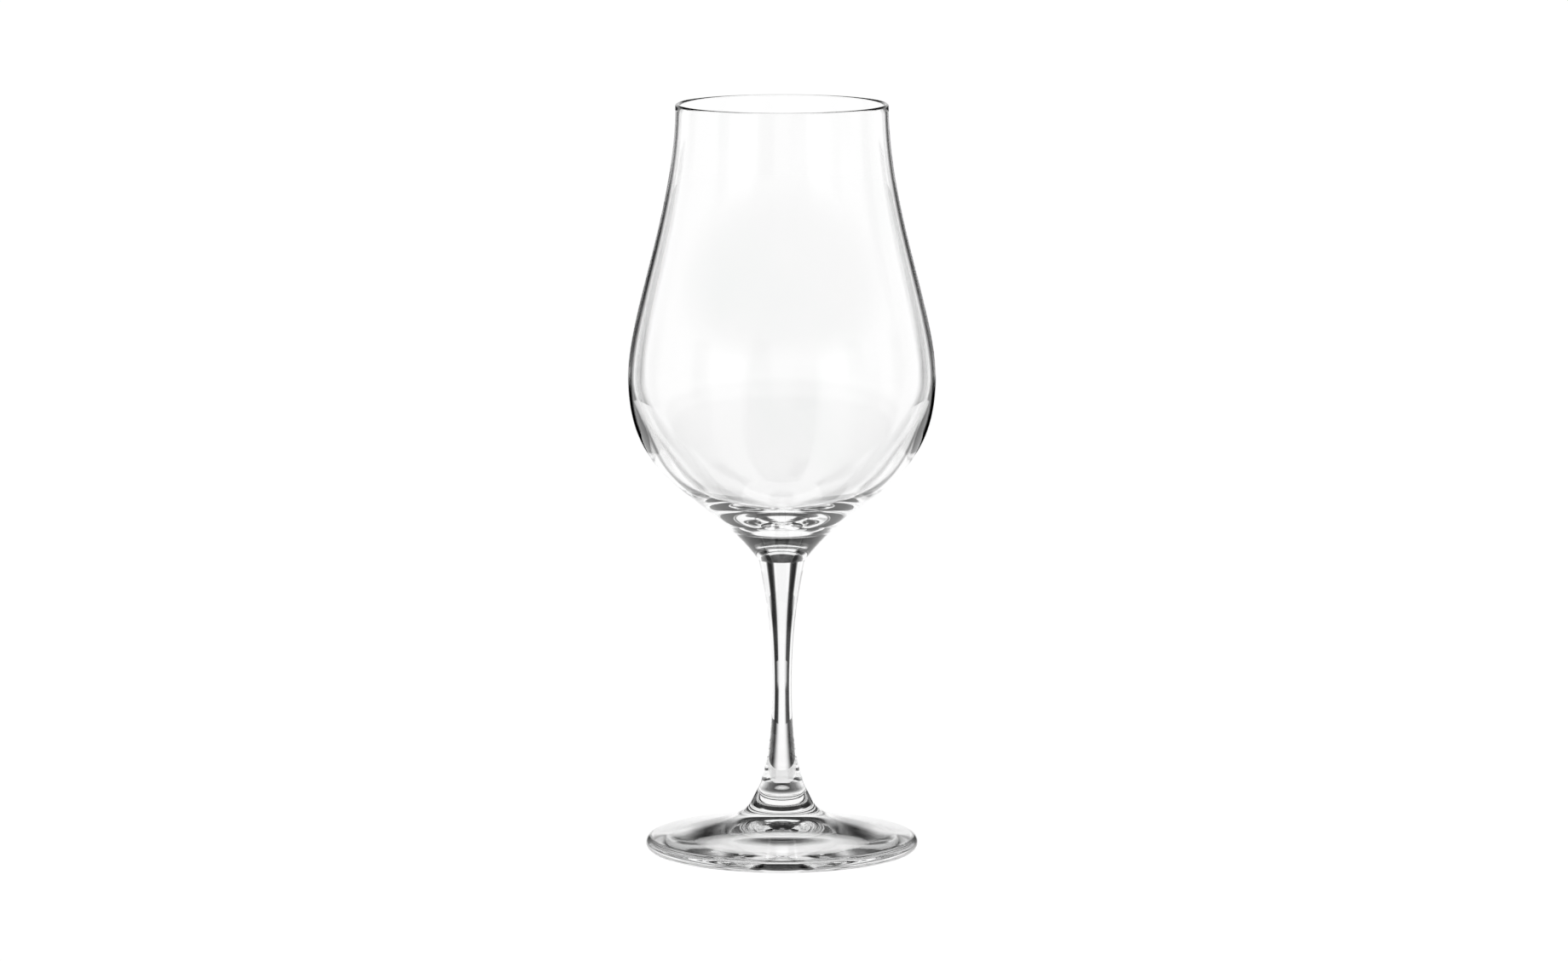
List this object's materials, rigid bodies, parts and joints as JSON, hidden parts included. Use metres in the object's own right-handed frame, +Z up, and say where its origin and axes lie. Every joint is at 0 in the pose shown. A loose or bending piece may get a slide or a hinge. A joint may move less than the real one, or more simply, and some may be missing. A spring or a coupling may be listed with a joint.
{
  "type": "wine glass",
  "caption": "Clear stemmed wine glass: a thin-walled tulip bowl on a slender waisted stem and a wide, gently sloping round foot.",
  "frame": {"origin": "middle of the foot's resting face, on the glass's axis", "axes": "+Z up along the glass's axis, from the foot to the rim; X and Y are free, because the glass is round"},
  "size_m": [0.09, 0.09, 0.22],
  "materials": {
    "clear_glass": "clear, fire-polished, colourless glass"
  },
  "bodies": {
    "root": {"foot": "clear_glass", "stem": "clear_glass", "bowl": "clear_glass"}
  },
  "joints": []
}
